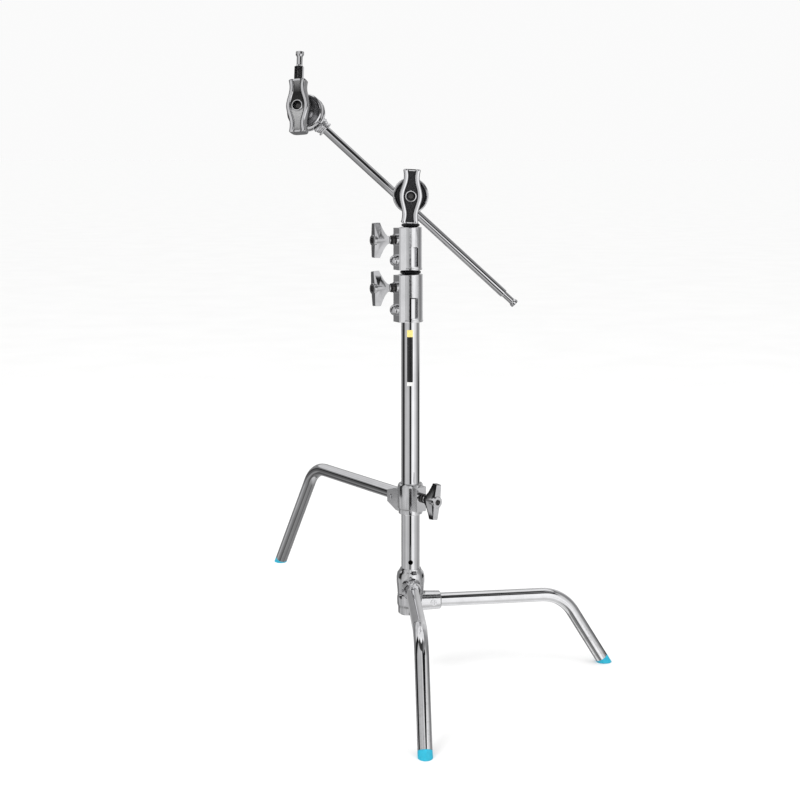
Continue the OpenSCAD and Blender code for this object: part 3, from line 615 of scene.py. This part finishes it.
def handle_mesh():
    rings = []
    for i in range(-BAR_STEPS, BAR_STEPS + 1):
        y = SPAN / 2 * i / BAR_STEPS
        edge = max(0.0, (abs(y) - (SPAN / 2 - 3.0)) / 3.0)
        ease = 1 - math.sqrt(max(0.0, 1 - edge * edge))
        half = handle_half(abs(i) / BAR_STEPS) - 2.2 * ease
        lip = min(1.0, max(0.0, (SPAN / 2 - 1.6 - abs(y)) / 2.6))
        section = handle_section(half, CHANNEL_SINK + LIP_SINK * lip, TOP - 1.2 * ease)
        right = [Vector((x, y, z)) for x, z in section]
        left = [Vector((-x, y, z)) for x, z in reversed(section[1:-1])]
        rings.append(right + left)
    verts, faces = tube_skin(rings)
    return [v * MM for v in verts], faces


def lathe(profile):
    """Closed solid of revolution about Z through (r, z) pairs whose first and last radius is 0."""
    verts, faces, rings = [], [], []
    turns = [2 * math.pi * j / ROUND_STEPS for j in range(ROUND_STEPS)]
    for r, z in profile:
        if r < 1e-9:
            rings.append([len(verts)])
            verts.append(Vector((0, 0, z)) * MM)
        else:
            rings.append(list(range(len(verts), len(verts) + ROUND_STEPS)))
            verts += [Vector((r * math.cos(a), r * math.sin(a), z)) * MM for a in turns]
    for a, b in zip(rings, rings[1:]):
        for j in range(ROUND_STEPS):
            k = (j + 1) % ROUND_STEPS
            if len(a) == 1:
                faces.append((a[0], b[k], b[j]))
            elif len(b) == 1:
                faces.append((a[j], a[k], b[0]))
            else:
                faces.append((a[j], a[k], b[k], b[j]))
    return verts, faces


def combined(base, others):
    """base with each (operation, verts, faces) applied, as a new mesh."""
    temp = []
    for operation, verts, faces in others:
        mesh = bpy.data.meshes.new("cutter")
        mesh.from_pydata([tuple(v) for v in verts], [], faces)
        cutter = bpy.data.objects.new("cutter", mesh)
        bpy.context.scene.collection.objects.link(cutter)
        modifier = base.modifiers.new("cut", "BOOLEAN")
        modifier.operation = operation
        modifier.object = cutter
        modifier.solver = "EXACT"
        temp.append(cutter)
    bpy.context.view_layer.update()
    depsgraph = bpy.context.evaluated_depsgraph_get()
    made = bpy.data.meshes.new_from_object(base.evaluated_get(depsgraph))
    base.modifiers.clear()
    for cutter in temp:
        bpy.data.objects.remove(cutter)
    return made


def outward(mesh):
    shape = bmesh.new()
    shape.from_mesh(mesh)
    bmesh.ops.recalc_face_normals(shape, faces=shape.faces)
    shape.to_mesh(mesh)
    shape.free()


BORE_R = 5.1
RECESS_R = 8.6
COLLAR_R = 10.3
NECK = [(0, SEAT_Z), (11.4, SEAT_Z), (12.2, SEAT_Z + 0.8), (12.6, SEAT_Z + 4), (14.6, BAR - 0.5),
        (14.8, BAR + 3), (0, BAR + 3)]
COLLAR = [(0, TOP - 8), (COLLAR_R, TOP - 8), (COLLAR_R, TOP - 1.0), (9.9, TOP - 0.6), (9.3, TOP - 0.5),
          (0, TOP - 0.5)]
BORE = [(0, SEAT_Z - 2), (BORE_R, SEAT_Z - 2), (BORE_R, TOP - 12), (8.3, TOP - 12), (RECESS_R, TOP - 11.6),
        (RECESS_R, TOP + 4), (0, TOP + 4)]


def handle_metal(centre):
    """Which of a T handle's materials a face takes: 0 polished, 1 channel, 2 recess."""
    x, y, z = (c / MM for c in centre)
    r = math.hypot(x, y)
    if r < RECESS_R - 0.05 and TOP - 13 < z < TOP - 1.5:
        return 2
    between_rims = abs(x) < handle_half(min(1, abs(y) / (SPAN / 2))) - RIM + 0.3
    if between_rims and TOP - 3.7 < z < TOP - 2.2 and r > COLLAR_R + 0.05:
        return 1
    return 0


def t_handle(name, body, node, place, channel):
    verts, faces = handle_mesh()
    mesh = bpy.data.meshes.new(name)
    mesh.from_pydata([tuple(v) for v in verts], [], faces)
    outward(mesh)
    obj = bpy.data.objects.new(name, mesh)
    bpy.context.scene.collection.objects.link(obj)
    steps = [("UNION", *lathe(NECK)), ("UNION", *lathe(COLLAR)), ("DIFFERENCE", *lathe(BORE))]
    mesh = combined(obj, steps)
    obj.data = mesh
    mesh.materials.clear()
    for mat in (MATS["handle_chrome"], channel, MATS["dark_cast"]):
        mesh.materials.append(mat)
    smooth(mesh)
    for face in mesh.polygons:
        face.material_index = handle_metal(face.center)
    mesh.transform(place)
    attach(obj, body)
    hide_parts(node)
    split_at(obj, HANDLE_SHARP)


def axes_matrix(x, y, z, at):
    m = Matrix.Identity(4)
    for i in range(3):
        m[i][0], m[i][1], m[i][2], m[i][3] = x[i], y[i], z[i], at[i]
    return m


head_at = Vector(JOINTS["arm_tilt"]["pos_m"])
HEAD = axes_matrix(Vector((1, 0, 0)), Vector((0, 0, 1)), Vector((0, -1, 0)), head_at)
end_out = Vector(JOINTS["end_jaw_turn"]["axis"])
end_up = Vector(MOUNTS["spigot_tip"]["axis"])
END = axes_matrix(end_up.cross(end_out), end_up, end_out, Vector(JOINTS["end_jaw_turn"]["pos_m"]))
tilt = Matrix.Rotation(math.radians(-2.7), 4, "Z")
t_handle("head_handle_bar", "head_handle_group", "head_handle", HEAD @ tilt, MATS["dark_cast"])
t_handle("end_handle_bar", "end_handle_group", "end_handle", END @ tilt.inverted(), channel_metal(END))


# Dished faces of the front jaw discs are dark (mm, from the head's bolt)
DISH_INNER_R = 12.2
DISH_OUTER_R = 30.4
DISC_BACK = 42


def dish_of(place):
    back = place.inverted()

    def chosen(centre, normal):
        p = back @ centre
        facing_out = (back.to_3x3() @ normal).z > 0.25
        r = math.hypot(p.x, p.y) / MM
        return DISH_INNER_R < r < DISH_OUTER_R and p.z / MM > DISC_BACK and facing_out
    return chosen


second_material("head_front_disc", MATS["head_dish"], dish_of(HEAD))
second_material("end_front_disc", MATS["end_dish"], dish_of(END))


# Bolt ends seen in the handles' recesses are dark steel, a painted shade on the chrome bolts; the flange of each
# knob stem is bright
BOLT_END = 80
FLANGE_LOW = 45.5
FLANGE_HIGH = 49.5
STEM_R = 5.2


def bolt_end(place):
    back = place.inverted()
    return lambda centre, normal: (back @ centre).z / MM > BOLT_END


def flange(joint):
    at, axis = Vector(joint["pos_m"]), Vector(joint["axis"]).normalized()

    def chosen(centre, normal):
        p = centre - at
        out = p.dot(axis)
        return FLANGE_LOW < out / MM < FLANGE_HIGH and (p - axis * out).length / MM > STEM_R
    return chosen


# Painted shade: the chrome bolts' ends down in the recesses get dark steel
second_material("head_draw_bolt", MATS["dark_steel"], bolt_end(HEAD))
second_material("end_draw_bolt", MATS["dark_steel"], bolt_end(END))
for knob in ("lower_knob", "upper_knob", "collar_knob"):
    second_material(knob + "_stem", MATS["turned_chrome"], flange(JOINTS[knob + "_turn"]))


# Thread of each knob stem, where it shows between lug and knob (mm)
THREAD_ROOT = 5.02
THREAD_CREST = 5.5
THREAD_PITCH = 1.5
THREAD_END = 46.4
THREAD_ROWS = 8
THREAD_ROUND = 32


def thread_radius(z, turn):
    phase = (z / THREAD_PITCH - turn) % 1.0
    return THREAD_ROOT + (THREAD_CREST - THREAD_ROOT) * (1 - abs(2 * phase - 1)) ** 0.8


def thread(name, joint, start):
    """Ridged skin round a joint's stem, from start to THREAD_END along its axis."""
    axis = Vector(joint["axis"]).normalized()
    side = axis.cross(Vector((0, 0, 1))).normalized()
    place = axes_matrix(side, axis.cross(side), axis, Vector(joint["pos_m"]))
    rows = int((THREAD_END - start) / THREAD_PITCH * THREAD_ROWS)
    rings = []
    for i in range(rows + 1):
        z = start + (THREAD_END - start) * i / rows
        ring = []
        for j in range(THREAD_ROUND):
            r = thread_radius(z, j / THREAD_ROUND)
            a = 2 * math.pi * j / THREAD_ROUND
            ring.append(Vector((r * math.cos(a), r * math.sin(a), z)) * MM)
        rings.append(ring)
    verts, faces = tube_skin(rings)
    piece(name, verts, faces, joint["child"], MATS["dark_steel"], place)


for knob, lug_face in (("lower_knob", 35.6), ("upper_knob", 35.6), ("collar_knob", 37.1)):
    thread(knob + "_thread", JOINTS[knob + "_turn"], lug_face)


# ---------------------------------------------------------------- stage

FLOOR_SIZE = 600
FLOOR_DROP = 0.0002


def paper():
    """Pale seamless paper, a little uneven."""
    mat, tree = new_material("floor_paper")
    where = object_place(tree)
    uneven = span(tree, noise(tree, where, 3, 4), 0.3, 0.7, 0, 1)
    tone = blended(tree, uneven, (0.885, 0.885, 0.883), (0.862, 0.862, 0.86))
    fibres = {"Height": noise(tree, where, 400, 3), "Strength": 0.04, "Distance": 0.0004}
    grain = linked(tree, "ShaderNodeBump", fibres)
    matte = linked(tree, "ShaderNodeBsdfDiffuse", {"Color": tone, "Normal": grain.outputs["Normal"]})
    linked(tree, "ShaderNodeOutputMaterial", {"Surface": matte.outputs["BSDF"]})
    return mat


def lay_floor():
    h = FLOOR_SIZE / 2
    mesh = bpy.data.meshes.new("floor")
    mesh.from_pydata([(-h, -h, 0), (h, -h, 0), (h, h, 0), (-h, h, 0)], [], [(0, 1, 2, 3)])
    mesh.materials.append(paper())
    floor = bpy.data.objects.new("floor", mesh)
    floor.location = (0, 0, -FLOOR_DROP)
    bpy.context.scene.collection.objects.link(floor)
    floor.visible_glossy = False


# A drum of light and dark bands round the set, seen only in reflections: (azimuth from the front, light)
BANDS = [
    (-180, 0.4), (-150, 0.27), (-112, 0.22), (-104, 0.012), (-83, 0.008), (-76, 0.4), (-68, 0.65),
    (-45, 0.6), (-30, 0.66), (-18, 0.6), (-9, 0.04), (-4, 0.02), (6, 0.02), (10, 0.35), (15, 1.1),
    (25, 1.25), (42, 1.2), (52, 0.9), (72, 0.8), (85, 0.4), (98, 0.28), (108, 0.26), (120, 0.36),
    (140, 0.6), (160, 0.7), (180, 0.4),
]
LOW_BANDS = [
    (-180, 0.5), (-150, 0.42), (-137, 0.2), (-124, 0.18), (-119, 0.52), (-104, 0.55), (-92, 0.42),
    (-75, 0.5), (-60, 0.6), (-30, 0.62), (-18, 0.55), (-11, 0.03), (-4, 0.015), (7, 0.015), (10, 0.35),
    (15, 1.0), (28, 1.15), (42, 1.0), (52, 0.75), (72, 0.65), (90, 0.42), (108, 0.36), (120, 0.4),
    (145, 0.6), (160, 0.7), (180, 0.5),
]
DRUM_R = 2.3
DRUM_LOW = -3.5
DRUM_HIGH = 3.2
DRUM_SIDES = 96
BLACK_CARD = (0.012, 0.012, 0.013)


def round_ramp(tree, share, bands):
    ramp = linked(tree, "ShaderNodeValToRGB", {0: share})
    stops = ramp.color_ramp.elements
    while len(stops) < len(bands):
        stops.new(0.5)
    for stop, (azimuth, _) in zip(stops, bands):
        stop.position = azimuth / 360 + 0.5
    for stop, (_, value) in zip(stops, bands):
        stop.color = (value, value, value * 1.01, 1)
    return ramp.outputs[0]


def drum_light():
    """The drum's bands, with cards hung in front of them; angles in radians from the front, heights in m."""
    mat, tree = new_material("reflection_drum")
    at = xyz_of(tree, object_place(tree))
    angle = maths(tree, "ARCTAN2", at["X"], times(tree, at["Y"], -1.0))
    share = plus(tree, maths(tree, "DIVIDE", angle, 2 * math.pi), 0.5)
    z = at["Z"]

    def within(low, high, soft):
        return times(tree, span(tree, angle, low - soft, low + soft, 0, 1),
                     span(tree, angle, high - soft, high + soft, 1, 0))

    low_slot = times(tree, within(1.93, 2.45, 0.04), span(tree, z, 0.2, 0.35, 1, 0))
    tint = blended(tree, low_slot, round_ramp(tree, share, BANDS), BLACK_CARD)
    high_wall = times(tree, span(tree, angle, -1.85, -1.78, 1, 0), span(tree, z, 1.0, 1.2, 0, 1))
    tint = blended(tree, high_wall, tint, (0.72, 0.72, 0.73))
    tint = blended(tree, span(tree, z, -0.24, -0.14, 1, 0), tint, round_ramp(tree, share, LOW_BANDS))
    middle = times(tree, within(-0.25, 0.25, 0.06), span(tree, z, 0.55, 0.8, 0, 1))
    tint = blended(tree, middle, tint, (0.75, 0.75, 0.76))
    gantry = times(tree, within(0.17, 1.15, 0.03), span(tree, z, 1.45, 1.6, 0, 1))
    tint = blended(tree, gantry, tint, BLACK_CARD)
    eaves = times(tree, within(0.52, 2.4, 0.08), span(tree, z, 2.3, 2.5, 0, 1))
    tint = blended(tree, eaves, tint, (0.26, 0.26, 0.265))
    ground = span(tree, angle, 0.0, 0.35, 0.26, 0.8)
    pale = linked(tree, "ShaderNodeCombineXYZ", {0: ground, 1: ground, 2: ground}).outputs[0]
    tint = blended(tree, span(tree, z, -2.4, -1.0, 1, 0), tint, pale)
    drift = span(tree, noise(tree, stretched(tree, (1, 1, 0.4)), 1.6, 2), 0.3, 0.7, 0.8, 1.1)
    glow = linked(tree, "ShaderNodeEmission", {"Color": tint, "Strength": drift})
    linked(tree, "ShaderNodeOutputMaterial", {"Surface": glow.outputs[0]})
    return mat


def hang_drum():
    verts, faces = [], []
    for i in range(DRUM_SIDES):
        a = 2 * math.pi * i / DRUM_SIDES
        x, y = DRUM_R * math.cos(a), DRUM_R * math.sin(a)
        verts += [(x, y, DRUM_LOW), (x, y, DRUM_HIGH)]
        k = (i + 1) % DRUM_SIDES
        faces.append((2 * i, 2 * k, 2 * k + 1, 2 * i + 1))
    mesh = bpy.data.meshes.new("reflection_drum")
    mesh.from_pydata(verts, [], faces)
    mesh.materials.append(drum_light())
    drum = bpy.data.objects.new("reflection_drum", mesh)
    bpy.context.scene.collection.objects.link(drum)
    drum.visible_camera = False
    drum.visible_diffuse = False
    drum.visible_shadow = False
    drum.visible_transmission = False


# Light from above in reflections, by the upward part of its direction
SKY = [(0.0, 0.75), (0.7, 0.75), (0.79, 0.06), (0.965, 0.04), (0.985, 1.15), (1.0, 1.2)]


def light_world():
    """Even light on surfaces, white behind the object, and SKY or a plain white back in reflections."""
    world = bpy.data.worlds.new("studio")
    bpy.context.scene.world = world
    world.use_nodes = True
    tree = world.node_tree
    tree.nodes.clear()
    ray = linked(tree, "ShaderNodeLightPath").outputs
    way = xyz_of(tree, linked(tree, "ShaderNodeTexCoord").outputs["Generated"])
    over = greys(tree, way["Z"], SKY)
    right = times(tree, span(tree, way["X"], 0.28, 0.36, 0, 1), span(tree, way["Z"], 0.9, 0.95, 1, 0))
    front = blended(tree, right, over, (0.24, 0.24, 0.245))
    behind = span(tree, way["Y"], -0.06, 0.06, 0, 1)
    mirrored = blended(tree, behind, front, (0.95, 0.95, 0.96))
    lit = blended(tree, ray["Is Glossy Ray"], (1.1, 1.1, 1.1), mirrored)
    seen = blended(tree, ray["Is Camera Ray"], lit, (0.96, 0.96, 0.96))
    back = linked(tree, "ShaderNodeBackground", {"Color": seen, "Strength": 1.0})
    linked(tree, "ShaderNodeOutputWorld", {"Surface": back.outputs[0]})


def softbox(name, at, target, size, power):
    light = bpy.data.lights.new(name, "AREA")
    light.shape = "DISK"
    light.size = size
    light.energy = power
    obj = bpy.data.objects.new(name, light)
    obj.location = at
    obj.rotation_mode = "QUATERNION"
    obj.rotation_quaternion = (Vector(target) - Vector(at)).to_track_quat("-Z", "Y")
    bpy.context.scene.collection.objects.link(obj)
    obj.visible_glossy = False


lay_floor()
hang_drum()
light_world()
softbox("key", (-1.6, -1.8, 3.4), (0, 0, 0.4), 1.8, 40)
softbox("fill", (2.2, -1.2, 2.6), (0, 0, 0.5), 2.2, 14)


# ---------------------------------------------------------------- camera

# Level at eye height in front of the stand, the lens shifted down to hold the feet
EYE = (-0.0199, -2.838, 0.978)
SHIFT = -0.306
LENS = 67.5
NEAR_EYE = 0.001


def place_camera():
    data = bpy.data.cameras.new("camera")
    data.sensor_width = 36
    data.lens = LENS
    camera = bpy.data.objects.new("camera", data)
    camera.location = EYE
    camera.rotation_euler = (math.radians(90), 0, 0)
    bpy.context.scene.collection.objects.link(camera)
    bpy.context.scene.camera = camera
    return camera


def shift_at_eye(camera):
    """The lens shift belongs to EYE alone, so it goes when the camera moves round."""
    follow = camera.data.driver_add("shift_y").driver
    follow.type = "SCRIPTED"
    place = follow.variables.new()
    place.name = "y"
    place.type = "TRANSFORMS"
    place.targets[0].id = camera
    place.targets[0].transform_type = "LOC_Y"
    place.targets[0].transform_space = "WORLD_SPACE"
    follow.expression = "%s if y < %s and y > %s else 0" % (SHIFT, EYE[1] + NEAR_EYE, EYE[1] - NEAR_EYE)


shift_at_eye(place_camera())
bpy.context.scene.view_settings.view_transform = "Standard"
